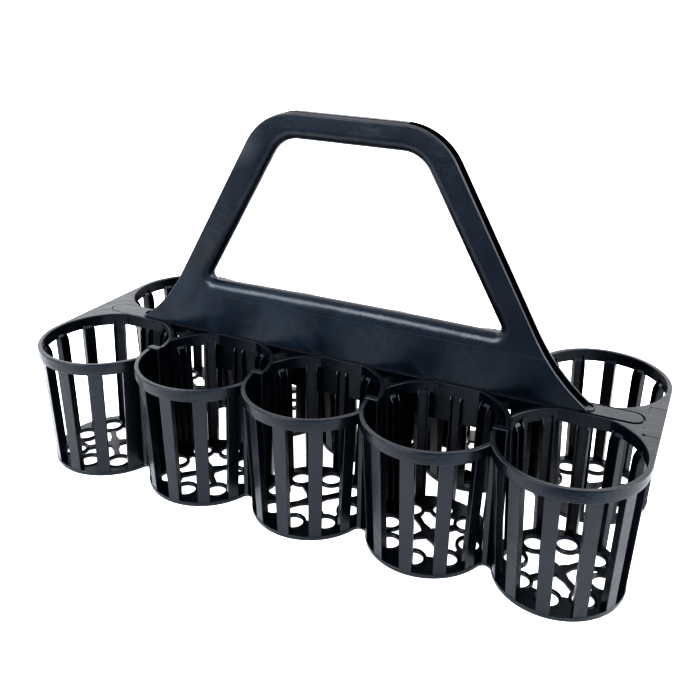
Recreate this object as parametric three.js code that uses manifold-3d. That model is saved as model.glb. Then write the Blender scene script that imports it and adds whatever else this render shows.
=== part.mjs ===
// A ten-bottle carrier moulded in one piece: two rows of five slatted cups,
// joined at their rims, with a hollow spine between the rows that rises into
// a trapezoidal carrying handle.
//
// Frame: millimetres, +Z up. X runs along the length, Y across the two rows,
// and the origin is on the ground under the middle of the carrier.

import * as THREE from 'three';
import { mergeVertices } from 'three/addons/utils/BufferGeometryUtils.js';
import Module from 'manifold-3d';

// ---------------------------------------------------------------- dimensions
const COLUMNS = 5;             // cups in a row
const PITCH = 88;              // cup to cup along the row
const ROW_SPACING = 103;       // row to row, between cup centres
const RIM_Z = 93;              // top of the rims and of the end decks

const RIM_R = 49;              // outer radius of a rim
const RIM_BORE_R = 45.4;       // inner radius of a rim
const RIM_H = 9;               // height of the rim band
const RIM_SIDES = 24;

const BASE_R = 42.8;           // outer radius of a cup's floor plate
const SLAT_R = 42.3;           // outer radius of the slats at ground level
const SLAT_LEAN = 0.055;       // outward lean of the slats, mm per mm of height
const SLAT_DEPTH = 5;          // from a slat's outer face to its inner edges
const SLAT_STEP = 30;          // degrees from slat to slat
const SLAT_HALF = 6;           // half of a slat's width, degrees
const SLAT_DRAFT = 0.17;       // its sides close in by this much per mm inwards
const SLAT_BEVEL_Z = 84;       // the inner edges slope outwards from here
const SLAT_TOP_Z = 89.5;       // and reach the rim's bore here
const NARROW_SLAT = [26.5, 36]; // the slats beside a junction wall, degrees
const INNER_SLAT_END = 41;      // the same slats reach further on the spine's side

const FLOOR_T = 3;             // floor plate
const HOLE_RING_R = 28.5;      // the round drain holes lie on this circle
const HOLE_R = 6.6;
const HOLES = 8;
const HOLE_SIDES = 8;
const HOLE_LIP_R = 8.9;        // outline of the lip around a hole
const SPOKE_HALF = 1.9;        // half width of the four spokes of the star
const HUB_R = 4.5;

const WALL_T = 3.4;            // S-shaped wall that two neighbours share
const WALL_TOP_T = 2.4;        // its thickness at the rim
const WALL_Y = 19.2;           // half of its length
const WALL_FOOT_Y = 14;        // half of its length at the floor
const WALL_FOOT_Z = 6;         // the chamfer at its foot ends here
const WALL_STEP_Y = 2.4;       // the S crosses from one ring to the other here
const NECK_Y = 13.6;           // half width of the neck between two floors

const SPINE_T = 13.4;          // thickness of the spine and of the handle
const SPINE_SKIN = 2.5;        // its front and back walls
const FOOT_T = 18.0;           // the spine stands on a wider foot, level with the rims
const FOOT_END_X = 213;        // its rounded end, under the deck
const KEEL_X = 118;            // below the window the spine reaches down between
const KEEL_Z = 63;             // the rows, as a keel that is open underneath
const SPINE_END_X = 178.5;     // where the flare meets the deck
const HANDLE_TOP_Z = 268;
const LEG_X = 104;             // outer edge of a leg at LEG_Z
const LEG_Z = 200;
const LEG_SLOPE = 1.8;         // fall of the leg's outer edge, mm per mm of X
const BEND_R = 44;             // outer bend between the leg and the grip
const FLARE_TOP_Z = 136;       // the concave flare starts here
const FLARE_R = 130;
const CHANNEL_DEPTH = 16;      // depth of the channel in the legs
const GRIP_GROOVE = 1.8;       // shallow groove along the top of the grip
const WEB_T = 3;

const WINDOW_TOP_Z = 249.8;
const WINDOW_FOOT_Z = 134.5;
const WINDOW_X = 91.5;         // side of the window at WINDOW_Z
const WINDOW_Z = 180;
const WINDOW_SLOPE = 1.786;
const WINDOW_TOP_R = 22;
const WINDOW_FOOT_R = 4;
const ROLL = 5;                // the window's edge is rolled over by this much

const DECK_T = 3;
const DECK_IN_X = 158;         // inner end of the deck plate
const END_X = (COLUMNS - 1) / 2 * PITCH + RIM_R;
const SKIRT_T = 3;
const GUSSET_H = 24;           // small ribs under the end of the deck
const GUSSET_T = 2;

// ------------------------------------------------------------------- solids
const wasm = await Module();
wasm.setup();
const rad = THREE.MathUtils.degToRad;

function toSolid(geometry) {
  let g = geometry.clone();
  for (const name of Object.keys(g.attributes)) if (name !== 'position') g.deleteAttribute(name);
  g = mergeVertices(g, 1e-4);
  return new wasm.Manifold(new wasm.Mesh({
    numProp: 3,
    vertProperties: new Float32Array(g.attributes.position.array),
    triVerts: new Uint32Array(g.index.array),
  }));
}

// A closed body through matching outlines, each a list of [x, y, z]. The
// outlines run anticlockwise seen from the last one, and the caps are flat.
function loft(levels, capAxes = [0, 1]) {
  const n = levels[0].length;
  const positions = [];
  for (const level of levels) for (const p of level) positions.push(...p);
  const index = [];
  for (let l = 0; l + 1 < levels.length; l++) {
    for (let i = 0; i < n; i++) {
      const a = l * n + i, b = l * n + (i + 1) % n, c = a + n, d = b + n;
      index.push(a, b, d, a, d, c);
    }
  }
  const cap = (level, base, up) => {
    const flat = level.map((p) => new THREE.Vector2(p[capAxes[0]], p[capAxes[1]]));
    const turn = THREE.ShapeUtils.area(flat) > 0;
    for (const t of THREE.ShapeUtils.triangulateShape(flat, [])) {
      const same = (THREE.ShapeUtils.area(t.map((i) => flat[i])) > 0) === turn;
      if (same === up) index.push(base + t[0], base + t[1], base + t[2]);
      else index.push(base + t[0], base + t[2], base + t[1]);
    }
  };
  cap(levels[0], 0, false);
  cap(levels[levels.length - 1], (levels.length - 1) * n, true);
  const g = new THREE.BufferGeometry();
  g.setAttribute('position', new THREE.Float32BufferAttribute(positions, 3));
  g.setIndex(index);
  return toSolid(g);
}

const slab = (points, z0, z1) => loft([points.map((p) => [p[0], p[1], z0]), points.map((p) => [p[0], p[1], z1])]);

// A plate in the XZ plane from y0 to y1. Its outline runs clockwise in X, Z,
// which is anticlockwise seen along +Y from the front to the back.
function plateXZ(points, y0, y1) {
  const shape = new THREE.Shape(points.map((p) => new THREE.Vector2(p[0], p[1])));
  const g = new THREE.ExtrudeGeometry(shape, { depth: y1 - y0, bevelEnabled: false });
  g.rotateX(Math.PI / 2);
  g.translate(0, y1, 0);
  return toSolid(g);
}

function ngon(r, sides, cx = 0, cy = 0, turn = 0) {
  const out = [];
  for (let i = 0; i < sides; i++) {
    const a = 2 * Math.PI * i / sides + turn;
    out.push([cx + r * Math.cos(a), cy + r * Math.sin(a)]);
  }
  return out;
}

const polar = (r, deg) => [r * Math.cos(rad(deg)), r * Math.sin(rad(deg))];
// a ring's outline, with a flat of the given radius facing each slat
const facets = (r) => ngon(r / Math.cos(Math.PI / RIM_SIDES), RIM_SIDES, 0, 0, Math.PI / RIM_SIDES);
const join = (list) => list.reduce((a, b) => a.add(b));

// --------------------------------------------------------------------- cups
const cups = [];
for (const row of [-1, 1]) {
  for (let i = 0; i < COLUMNS; i++) {
    cups.push({
      x: (i - (COLUMNS - 1) / 2) * PITCH,
      y: row * ROW_SPACING / 2,
      left: i > 0,
      right: i < COLUMNS - 1,
    });
  }
}

const slatR = (z) => SLAT_R + SLAT_LEAN * z;

// A slat between two directions: its side profile, swept across its width.
function slat(from, to) {
  const half = Math.sin(rad(to - from) / 2);
  const low = FLOOR_T / 2;
  const profile = [
    [slatR(low), low],
    [slatR(SLAT_TOP_Z), SLAT_TOP_Z],
    [RIM_BORE_R + 0.6, SLAT_TOP_Z],
    [slatR(SLAT_BEVEL_Z) - SLAT_DEPTH, SLAT_BEVEL_Z],
    [slatR(low) - SLAT_DEPTH, low],
  ];
  const width = (r, z) => half * slatR(z) - SLAT_DRAFT * (slatR(z) - r);
  const side = (sign) => profile.map(([r, z]) => [r, sign * width(r, z), z]);
  return loft([side(1), side(-1)], [0, 2]).rotate([0, 0, (from + to) / 2]);
}

function slatAngles(cup) {
  const list = [];
  for (let a = 0; a < 360; a += SLAT_STEP) {
    const [near, far] = NARROW_SLAT;
    const above = cup.y < 0 ? INNER_SLAT_END : far;
    const below = cup.y > 0 ? INNER_SLAT_END : far;
    if (cup.right && a === 0) continue;
    if (cup.left && a === 180) continue;
    if (cup.right && a === SLAT_STEP) list.push([near, above]);
    else if (cup.right && a === 360 - SLAT_STEP) list.push([-below, -near]);
    else if (cup.left && a === 180 - SLAT_STEP) list.push([180 - above, 180 - near]);
    else if (cup.left && a === 180 + SLAT_STEP) list.push([180 + near, 180 + below]);
    else list.push([a - SLAT_HALF, a + SLAT_HALF]);
  }
  return list;
}

const rim = () => slab(facets(RIM_R), RIM_Z - RIM_H, RIM_Z);

const bore = () => slab(facets(RIM_BORE_R), RIM_Z - RIM_H - 2, RIM_Z + 2);

// One opening of the floor's star: its point is at the hub, its sides follow
// two spokes, then the lips of the diagonal holes, and its end is hollowed by
// the lip of the hole on its own axis.
function starOpening(axisDeg) {
  const s = SPOKE_HALF * Math.SQRT2;
  const along = (HOLE_RING_R - HOLE_LIP_R) / Math.SQRT2;
  const pts = [];
  pts.push([HUB_R, 0]);
  pts.push([along + s / 2, -along + s / 2]);
  // the lip of the hole on the axis
  for (const deg of [220, 180, 140]) {
    const b = rad(deg);
    const p = [HOLE_RING_R + HOLE_LIP_R * Math.cos(b), HOLE_LIP_R * Math.sin(b)];
    pts.push(p);
  }
  pts.push([pts[1][0], -pts[1][1]]);
  const c = Math.cos(rad(axisDeg)), d = Math.sin(rad(axisDeg));
  return slab(pts.map(([x, y]) => [c * x - d * y, d * x + c * y]), -1, FLOOR_T + 1);
}

function floorCuts() {
  const list = [];
  for (let i = 0; i < HOLES; i++) {
    const [x, y] = polar(HOLE_RING_R, 360 * i / HOLES);
    list.push(slab(ngon(HOLE_R, HOLE_SIDES, x, y, Math.PI / HOLE_SIDES), -1, FLOOR_T + 1));
  }
  for (const deg of [0, 90, 180, 270]) list.push(starOpening(deg));
  return join(list);
}

const floorPlate = () => slab(facets(BASE_R), 0, FLOOR_T);

// The wall between two neighbours: its front half is the right cup's ring
// carried down to the floor, its back half the left cup's, with a short S
// between them.
function junctionWall() {
  const mid = (RIM_R + RIM_BORE_R) / 2 + 0.1;
  const half = PITCH / 2;
  const bow = (y) => Math.sign(y) * (Math.sqrt(mid * mid - y * y) - half);
  const outline = (z, reach, t) => {
    const turn = (reach + WALL_STEP_Y) / 2;
    const line = [-reach, -turn, -WALL_STEP_Y, WALL_STEP_Y, turn, reach].map((y) => [bow(y), y]);
    const right = line.map(([x, y]) => [x + t / 2, y, z]);
    const left = line.map(([x, y]) => [x - t / 2, y, z]).reverse();
    return [...right, ...left];
  };
  return loft([
    outline(FLOOR_T / 2, WALL_FOOT_Y, WALL_T),
    outline(WALL_FOOT_Z, WALL_Y, WALL_T),
    outline(RIM_Z - 0.5, WALL_Y, WALL_TOP_T),
  ]);
}

// ------------------------------------------------------- spine and handle
const legX = (z) => LEG_X + (LEG_Z - z) / LEG_SLOPE;
const legAngle = Math.atan(LEG_SLOPE);

// Points of the right half's outer edge, from the top down to the deck.
function outerEdge(inset = 0) {
  const corner = legX(HANDLE_TOP_Z);
  const tangent = BEND_R * Math.tan(legAngle / 2);
  const centre = [corner - tangent, HANDLE_TOP_Z - BEND_R];
  const pts = [];
  for (let i = 0; i <= 5; i++) {
    const a = Math.PI / 2 - legAngle * i / 5;
    pts.push([centre[0] + (BEND_R - inset) * Math.cos(a), centre[1] + (BEND_R - inset) * Math.sin(a)]);
  }
  if (inset) return pts;
  // the concave flare: it starts along the leg and flattens towards the deck
  const start = [legX(FLARE_TOP_Z), FLARE_TOP_Z];
  const fc = [start[0] + FLARE_R * Math.sin(legAngle), start[1] + FLARE_R * Math.cos(legAngle)];
  const a0 = Math.atan2(start[1] - fc[1], start[0] - fc[0]);
  const end = Math.asin((RIM_Z - fc[1]) / FLARE_R);
  const a1 = -Math.PI - end;
  for (let i = 0; i <= 4; i++) {
    const a = a0 + (a1 - a0) * i / 4;
    pts.push([fc[0] + FLARE_R * Math.cos(a), fc[1] + FLARE_R * Math.sin(a)]);
  }
  return pts;
}

function windowOutline(grow) {
  const k = WINDOW_SLOPE;
  const side = (z) => WINDOW_X + (WINDOW_Z - z) / k;
  const angle = Math.atan(k);
  const arcs = [];
  // top corner: between the level top and the falling side
  let t = WINDOW_TOP_R * Math.tan(angle / 2);
  arcs.push({ x: side(WINDOW_TOP_Z) - t, z: WINDOW_TOP_Z - WINDOW_TOP_R, r: WINDOW_TOP_R, from: Math.PI / 2, to: Math.PI / 2 - angle, n: 4 });
  // foot corner: between the side and the level foot
  t = WINDOW_FOOT_R * Math.tan((Math.PI - angle) / 2);
  arcs.push({ x: side(WINDOW_FOOT_Z) - t, z: WINDOW_FOOT_Z + WINDOW_FOOT_R, r: WINDOW_FOOT_R, from: Math.PI / 2 - angle, to: -Math.PI / 2, n: 3 });
  const right = [];
  for (const c of arcs) {
    for (let i = 0; i <= c.n; i++) {
      const a = c.from + (c.to - c.from) * i / c.n;
      right.push([c.x + (c.r + grow) * Math.cos(a), c.z + (c.r + grow) * Math.sin(a)]);
    }
  }
  const left = right.map(([x, z]) => [-x, z]).reverse();
  return [...right, ...left];
}

function spineAndHandle() {
  const right = outerEdge();
  const half = SPINE_T / 2;
  right.push([right[right.length - 1][0], RIM_Z - 1]);
  const left = right.map(([x, z]) => [-x, z]).reverse();
  let body = plateXZ([...right, ...left], -half, half);

  // the window, rolled over at both faces
  const flat = half - ROLL;
  const level = (grow, y) => windowOutline(grow).map(([x, z]) => [x, y, z]);
  body = body.subtract(loft([
    level(ROLL + 1, -half - 1), level(0, -flat), level(0, flat), level(ROLL + 1, half + 1),
  ], [0, 2]));

  // the channels: open outwards along the legs and the flare
  const inner = outerEdge(CHANNEL_DEPTH);
  const off = CHANNEL_DEPTH / Math.sin(legAngle);
  const outside = outerEdge().map(([x, z], i) => (i <= 5 ? [x + 6, z + 14] : [x + 14, z + 8]));
  const pocket = [
    [inner[0][0] + 3, HANDLE_TOP_Z + 10],
    ...outside.slice(1),
    [SPINE_END_X + 14, RIM_Z],
    [legX(RIM_Z) - off, RIM_Z],
    ...inner.slice(1).reverse(),
    [inner[0][0] + 3, inner[0][1]],
  ];
  const gap = half - SPINE_SKIN;
  const mirror = (pts) => pts.map(([x, z]) => [-x, z]).reverse();
  body = body.subtract(plateXZ(pocket, -gap, gap)).subtract(plateXZ(mirror(pocket), -gap, gap));

  // the shallow groove along the grip
  const g0 = inner[0][0];
  body = body.subtract(plateXZ([[-g0, HANDLE_TOP_Z + 5], [g0, HANDLE_TOP_Z + 5], [g0, HANDLE_TOP_Z - GRIP_GROOVE], [-g0, HANDLE_TOP_Z - GRIP_GROOVE]], -gap, gap));
  return body;
}

// The spine's foot: a long bar with rounded ends, level with the rims.
function footBar(half, end, z0, z1) {
  const pts = [];
  for (const side of [1, -1]) {
    for (let i = 0; i <= 4; i++) {
      const a = Math.PI * (i / 4 - 0.5);
      pts.push([side * (end - half + half * Math.cos(a)), side * half * Math.sin(a)]);
    }
  }
  return slab(pts, z0, z1);
}

const footHollow = () => footBar(FOOT_T / 2 - SPINE_SKIN, FOOT_END_X - SPINE_SKIN, RIM_Z - RIM_H - 1, RIM_Z - DECK_T);

const keel = () => plateXZ([[-KEEL_X, RIM_Z - 1.5], [KEEL_X, RIM_Z - 1.5], [KEEL_X, KEEL_Z], [-KEEL_X, KEEL_Z]], -SPINE_T / 2, SPINE_T / 2);

// The hollow of the spine and of its keel, open at the bottom.
function spineHollow() {
  const gap = SPINE_T / 2 - SPINE_SKIN;
  const off = (CHANNEL_DEPTH + WEB_T) / Math.sin(legAngle);
  const x = (z) => legX(z) - off;
  const top = WINDOW_FOOT_Z - 2 * ROLL;
  const low = RIM_Z - RIM_H - 1;
  const end = KEEL_X - SPINE_SKIN;
  return plateXZ([
    [-x(top), top], [x(top), top], [x(low), low], [end, low],
    [end, KEEL_Z - 1], [-end, KEEL_Z - 1], [-end, low], [-x(low), low],
  ], -gap, gap);
}

// -------------------------------------------------------------------- decks
function deck(side) {
  const y = ROW_SPACING / 2;
  const box = (x0, x1, y0, y1, z0, z1) => {
    const a = side > 0 ? x0 : -x1, b = side > 0 ? x1 : -x0;
    return slab([[a, y0], [b, y0], [b, y1], [a, y1]], z0, z1);
  };
  return box(DECK_IN_X, END_X, -y, y, RIM_Z - DECK_T, RIM_Z)
    .add(box(END_X - SKIRT_T, END_X, -y, y, RIM_Z - RIM_H, RIM_Z));
}

// Small ribs that brace the ends of the deck on the outermost slats.
function gusset(side, row) {
  const y = row * ROW_SPACING / 2;
  const z0 = RIM_Z - RIM_H - GUSSET_H, z1 = RIM_Z - RIM_H + 1;
  const centre = (COLUMNS - 1) / 2 * PITCH;
  const tip = centre + slatR(z0);
  const pts = [[centre + slatR(z0) - 2, z0], [tip, z0], [END_X - 0.6, z1], [centre + slatR(z1) - 2, z1]];
  const place = side > 0 ? pts : pts.map(([x, z]) => [-x, z]).reverse();
  return plateXZ(place, y - GUSSET_T / 2, y + GUSSET_T / 2);
}

// ----------------------------------------------------------------- assembly
const at = (solid, cup) => solid.translate([cup.x, cup.y, 0]);

// the bores are cut through the rims and the decks, not through the spine
let top = join([...cups.map((c) => at(rim(), c)), deck(-1), deck(1)]);
top = top.subtract(join(cups.map((c) => at(bore(), c))));
top = join([top, spineAndHandle(), footBar(FOOT_T / 2, FOOT_END_X, RIM_Z - RIM_H, RIM_Z)]);
top = top.subtract(footHollow()).add(keel()).subtract(spineHollow());

// then what stands inside the bores: shared walls, slats and floors
const parts = [top];
for (const cup of cups) {
  for (const [a, b] of slatAngles(cup)) parts.push(at(slat(a, b), cup));
  parts.push(at(floorPlate(), cup));
  if (cup.right) {
    const x = cup.x + PITCH / 2;
    parts.push(junctionWall().translate([x, cup.y, 0]));
    const w = (PITCH / 2 - BASE_R) + 4;
    parts.push(slab([[x - w, cup.y - NECK_Y], [x + w, cup.y - NECK_Y], [x + w, cup.y + NECK_Y], [x - w, cup.y + NECK_Y]], 0, FLOOR_T));
  }
}
for (const side of [-1, 1]) for (const row of [-1, 1]) parts.push(gusset(side, row));
let carrier = join(parts);
carrier = carrier.subtract(join(cups.map((c) => at(floorCuts(), c))));

// ----------------------------------------------------------------- the part
const mesh = carrier.getMesh();
const geometry = new THREE.BufferGeometry();
geometry.setAttribute('position', new THREE.BufferAttribute(new Float32Array(mesh.vertProperties), 3));
geometry.setIndex(new THREE.BufferAttribute(new Uint32Array(mesh.triVerts), 1));
geometry.computeVertexNormals();

const material = new THREE.MeshStandardMaterial({ name: 'black_plastic', color: 0x1b2129, roughness: 0.38, metalness: 0 });
const node = new THREE.Mesh(geometry, material);
node.name = 'carrier';

const group = new THREE.Group();
group.name = 'ten_cup_bottle_carrier';
group.add(node);

export default group;
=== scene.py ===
import math

import bpy
import bmesh
import numpy as np
from mathutils import Matrix, Vector
from mathutils.geometry import tessellate_polygon


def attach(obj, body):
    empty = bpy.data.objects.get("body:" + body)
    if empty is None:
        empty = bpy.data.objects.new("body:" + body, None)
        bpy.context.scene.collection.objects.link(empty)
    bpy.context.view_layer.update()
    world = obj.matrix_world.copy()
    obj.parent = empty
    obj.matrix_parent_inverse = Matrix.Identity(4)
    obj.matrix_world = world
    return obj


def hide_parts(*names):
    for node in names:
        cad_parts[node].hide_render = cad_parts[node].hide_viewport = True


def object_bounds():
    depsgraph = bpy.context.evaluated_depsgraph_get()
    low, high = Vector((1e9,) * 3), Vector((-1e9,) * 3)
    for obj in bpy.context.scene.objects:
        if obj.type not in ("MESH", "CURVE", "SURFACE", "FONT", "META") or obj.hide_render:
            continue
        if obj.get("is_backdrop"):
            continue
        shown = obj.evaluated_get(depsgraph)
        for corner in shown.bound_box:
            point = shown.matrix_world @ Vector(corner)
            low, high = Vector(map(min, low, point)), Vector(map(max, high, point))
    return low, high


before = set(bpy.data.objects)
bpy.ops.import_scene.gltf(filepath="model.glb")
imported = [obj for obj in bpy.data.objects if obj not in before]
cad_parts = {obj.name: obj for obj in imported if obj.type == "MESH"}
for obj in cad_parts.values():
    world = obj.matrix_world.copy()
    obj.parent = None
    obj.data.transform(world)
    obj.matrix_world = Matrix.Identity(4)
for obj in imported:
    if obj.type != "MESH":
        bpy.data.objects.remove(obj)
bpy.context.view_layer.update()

# ------------------------------------------------------------ sizes, in mm
COLUMNS = 5
PITCH = 88.0
ROW_Y = 51.5                  # centre of each row
RIM_Z = 93.0                  # rims, decks and the spine's foot end level here
RIM_R = 48.95
BORE_R = 45.4
RIM_LOW = 84.0
BAND_LOW = 86.6               # the rim's outer band ends here, a lip goes on below
LIP_R = 47.9

BASE_R = 42.8
FLOOR_T = 3.0
HOLE_RING_R = 28.5
HOLE_R = 6.85
LIP_HOLE_R = 8.9
LIP_Z = 3.8
UNDER_Z = 1.0                 # the floor's underside is recessed inside its rim
SPOKE_HALF = 1.9
HUB_R = 4.5

SLAT_R = 42.3
SLAT_LEAN = 0.055
SLAT_DEPTH = 5.0
SLAT_HALF = 6.0               # degrees
SLAT_DRAFT = 0.17             # the sides close in by this much per mm inwards
NARROW = (26.3, 36.8)
INNER_END = 41.0               # where the web of the narrow slats ends on the spine's side
WEB_T = 2.3
RIB_T = 1.15

WALL_Y = 19.3                 # the junction walls end here, below the rims
WALL_TOP_Y = 21.6
WALL_FOOT_Y = 14.0

HALF_T = 6.75                 # half thickness of spine and handle
SKIN = 2.5
LEDGE_Y = 9.2                 # the spine stands in a shallow trough of this half width
KEEL_X, KEEL_Z = 118.0, 63.0  # under the window the spine reaches down between the rows
HANDLE_TOP_Z = 268.0
LEG_X, LEG_Z, LEG_SLOPE = 104.0, 200.0, 1.8
BEND_R = 44.0
FLARE_TOP_Z, FLARE_R = 136.0, 130.0
CHANNEL_DEPTH = 16.0
SPINE_END_X = 178.5
FOOT_END_X = 213.0
WINDOW_TOP_Z, WINDOW_FOOT_Z = 249.8, 134.5
WINDOW_X, WINDOW_Z, WINDOW_SLOPE = 91.5, 180.0, 1.786
WINDOW_TOP_R, WINDOW_FOOT_R = 22.0, 4.0
ROLL = 8.2
CROWN = 1.1                    # the window's lower edge rises by this in the middle
LINE_Z = 124.2                # a fine step across the spine under the window

END_X = (COLUMNS - 1) / 2 * PITCH + RIM_R
DECK_T = 3.0
DECK_IN_X = 158.0


# --------------------------------------------------------------- mesh tools
class Bag:
    """Collects closed shells, in mm, into one mesh."""

    def __init__(self):
        self.v, self.f = [], []

    def add(self, verts, faces, move=(0, 0, 0), turn=0.0):
        base = len(self.v)
        c, s = math.cos(math.radians(turn)), math.sin(math.radians(turn))
        for x, y, z in verts:
            self.v.append((c * x - s * y + move[0], s * x + c * y + move[1], z + move[2]))
        self.f.extend([tuple(base + i for i in face) for face in faces])
        return self

    def object(self, name):
        me = bpy.data.meshes.new(name)
        me.from_pydata([(x * 1e-3, y * 1e-3, z * 1e-3) for x, y, z in self.v], [], self.f)
        bm = bmesh.new()
        bm.from_mesh(me)
        bmesh.ops.recalc_face_normals(bm, faces=bm.faces)
        bm.to_mesh(me)
        bm.free()
        o = bpy.data.objects.new(name, me)
        bpy.context.scene.collection.objects.link(o)
        return o


def loft(levels):
    """A closed shell through matching closed outlines, capped at both ends."""
    n = len(levels[0])
    verts = [p for level in levels for p in level]
    faces = []
    for k in range(len(levels) - 1):
        for i in range(n):
            j = (i + 1) % n
            faces.append((k * n + i, k * n + j, (k + 1) * n + j, (k + 1) * n + i))
    faces.append(tuple(reversed(range(n))))
    last = (len(levels) - 1) * n
    faces.append(tuple(last + i for i in range(n)))
    return verts, faces


def at_z(points, z):
    return [(x, y, z) for x, y in points]


def at_y(points, y):
    return [(x, y, z) for x, z in points]


def slab(points, z0, z1):
    return loft([at_z(points, z0), at_z(points, z1)])


def revolve(profile, n):
    """A ring from a closed profile of (radius, z)."""
    m = len(profile)
    verts, faces = [], []
    for i in range(n):
        a = 2 * math.pi * i / n
        verts += [(r * math.cos(a), r * math.sin(a), z) for r, z in profile]
    for i in range(n):
        k = (i + 1) % n
        for j in range(m):
            l = (j + 1) % m
            faces.append((i * m + j, k * m + j, k * m + l, i * m + l))
    return verts, faces


def circle(r, n, cx=0.0, cy=0.0):
    return [(cx + r * math.cos(2 * math.pi * i / n), cy + r * math.sin(2 * math.pi * i / n)) for i in range(n)]


def fillet(corners, seg=3):
    """A closed outline whose corners (x, y, radius) are rounded."""
    out = []
    n = len(corners)
    for i in range(n):
        x, y, r = corners[i]
        p = np.array((x, y), float)
        if r <= 0:
            out.append((x, y))
            continue
        a = np.array(corners[i - 1][:2], float) - p
        b = np.array(corners[(i + 1) % n][:2], float) - p
        la, lb = np.linalg.norm(a), np.linalg.norm(b)
        a, b = a / la, b / lb
        half = math.acos(max(-1.0, min(1.0, float(a @ b)))) / 2
        t = min(r / math.tan(half), 0.49 * la, 0.49 * lb)
        rr = t * math.tan(half)
        bis = (a + b) / np.linalg.norm(a + b)
        centre = p + bis * rr / math.sin(half)
        s, e = p + a * t - centre, p + b * t - centre
        a0 = math.atan2(s[1], s[0])
        d = math.atan2(e[1], e[0]) - a0
        d = (d + math.pi) % (2 * math.pi) - math.pi
        for k in range(seg + 1):
            q = a0 + d * k / seg
            out.append((centre[0] + rr * math.cos(q), centre[1] + rr * math.sin(q)))
    return out


def offset(points, d):
    """A closed outline moved along its normals; d > 0 moves to its left side."""
    out = []
    n = len(points)
    for i in range(n):
        p0, p1, p2 = (np.array(points[(i + k) % n], float) for k in (-1, 0, 1))
        a, b = p1 - p0, p2 - p1
        a, b = a / np.linalg.norm(a), b / np.linalg.norm(b)
        na, nb = np.array((-a[1], a[0])), np.array((-b[1], b[0]))
        m = na + nb
        m /= np.linalg.norm(m)
        out.append(tuple(p1 + m * d / max(0.3, float(m @ na))))
    return out


def boolean(a, b, how):
    mod = a.modifiers.new("cut", "BOOLEAN")
    mod.operation = how
    mod.solver = "MANIFOLD"
    mod.object = b
    dg = bpy.context.evaluated_depsgraph_get()
    me = bpy.data.meshes.new_from_object(a.evaluated_get(dg))
    a.modifiers.clear()
    old = a.data
    a.data = me
    bpy.data.meshes.remove(old)
    mesh_b = b.data
    bpy.data.objects.remove(b)
    bpy.data.meshes.remove(mesh_b)
    if not me.polygons:
        raise RuntimeError("an empty result from " + a.name)
    return a


def copy(o):
    c = bpy.data.objects.new(o.name + "_c", o.data.copy())
    bpy.context.scene.collection.objects.link(c)
    return c


# --------------------------------------------------------------------- cups
cups = []
for row in (-1, 1):
    for i in range(COLUMNS):
        cups.append({"x": (i - (COLUMNS - 1) / 2) * PITCH, "y": row * ROW_Y, "i": i,
                     "left": i > 0, "right": i < COLUMNS - 1})


def rim_profile():
    return fillet([
        (BORE_R - 0.1, RIM_LOW, 0.4), (LIP_R, RIM_LOW, 0.6), (LIP_R, BAND_LOW - 0.1, 0.0),
        (RIM_R, BAND_LOW, 0.45), (RIM_R, RIM_Z, 0.8), (BORE_R, RIM_Z, 0.8),
    ])


def rims(odd):
    bag = Bag()
    verts, faces = revolve(rim_profile(), 144)
    for c in cups:
        if c["i"] % 2 == odd:
            bag.add(verts, faces, (c["x"], c["y"], 0))
    return bag.object("rims")


def bores(odd, r=BORE_R + 0.9, z0=RIM_LOW - 2, z1=RIM_Z + 2):
    bag = Bag()
    verts, faces = slab(circle(r, 144), z0, z1)
    for c in cups:
        if odd is None or c["i"] % 2 == odd:
            bag.add(verts, faces, (c["x"], c["y"], 0))
    return bag.object("bores")


def slat_r(z):
    return SLAT_R + SLAT_LEAN * z


# how far the ribs of a slat are cut back near its top
SLAT_LEVELS = [(1.5, 0.0), (79.0, 0.0), (80.6, 0.15), (82.2, 0.55), (84.0, 1.4), (86.0, 2.6), (87.5, 3.4),
               (88.6, 3.9), (89.6, 4.2)]


def slat(half_deg):
    """A channel open towards the cup: a web between two ribs."""
    levels = []
    for z, back in SLAT_LEVELS:
        ro = slat_r(z)
        w = ro * math.sin(math.radians(half_deg))
        ri = ro - SLAT_DEPTH + back
        rw = max(ro - WEB_T, ri + 0.1)
        side = lambda r: w - SLAT_DRAFT * (ro - r)
        inner = lambda r: side(r) - RIB_T
        e = 0.3
        right = [(ro, w - 0.35), (ro - 0.35, side(ro - 0.35)), (ri + e, side(ri + e)), (ri + 0.09, side(ri) - 0.1),
                 (ri, side(ri) - e), (ri, inner(ri) + e), (ri + 0.09, inner(ri) + 0.1), (ri + e, inner(ri + e)),
                 (rw, inner(rw) - 0.03)]
        outline = [(r, q) for r, q in right] + [(r, -q) for r, q in reversed(right)]
        levels.append(at_z(outline, z))
    return loft(levels)


def web_flange(sign, start, end):
    """Beside a junction wall, on the spine's side, the web goes on past its ribs."""
    mid = (NARROW[0] + NARROW[1]) / 2
    a0, a1 = math.radians(start - mid), math.radians(end - mid)
    levels = []
    for z in (1.5, 89.6):
        ro = slat_r(z)
        ri = ro - WEB_T
        pts = [(ro * math.cos(a), ro * math.sin(a)) for a in (a0, (a0 + a1) / 2, a1)]
        pts += [(ri * math.cos(a), ri * math.sin(a)) for a in (a1, (a0 + a1) / 2, a0)]
        if sign < 0:
            pts = [(x, -y) for x, y in reversed(pts)]
        levels.append(at_z(pts, z))
    return loft(levels)


def pocket(half_deg):
    """What is cut out of the web and the rim's inner face between the ribs'
    tops: a sloped shelf below, and a crisp upper edge."""
    w = slat_r(84) * math.sin(math.radians(half_deg)) - SLAT_DRAFT * WEB_T - RIB_T - 0.05
    prof = [(43.6, 82.8), (46.3, 85.7), (46.3, 87.7), (45.9, 88.1), (43.6, 88.1)]
    level = lambda q, sgn: [(r, sgn * q, z) for r, z in prof]
    return loft([level(w, 1), level(w, -1)])


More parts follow.
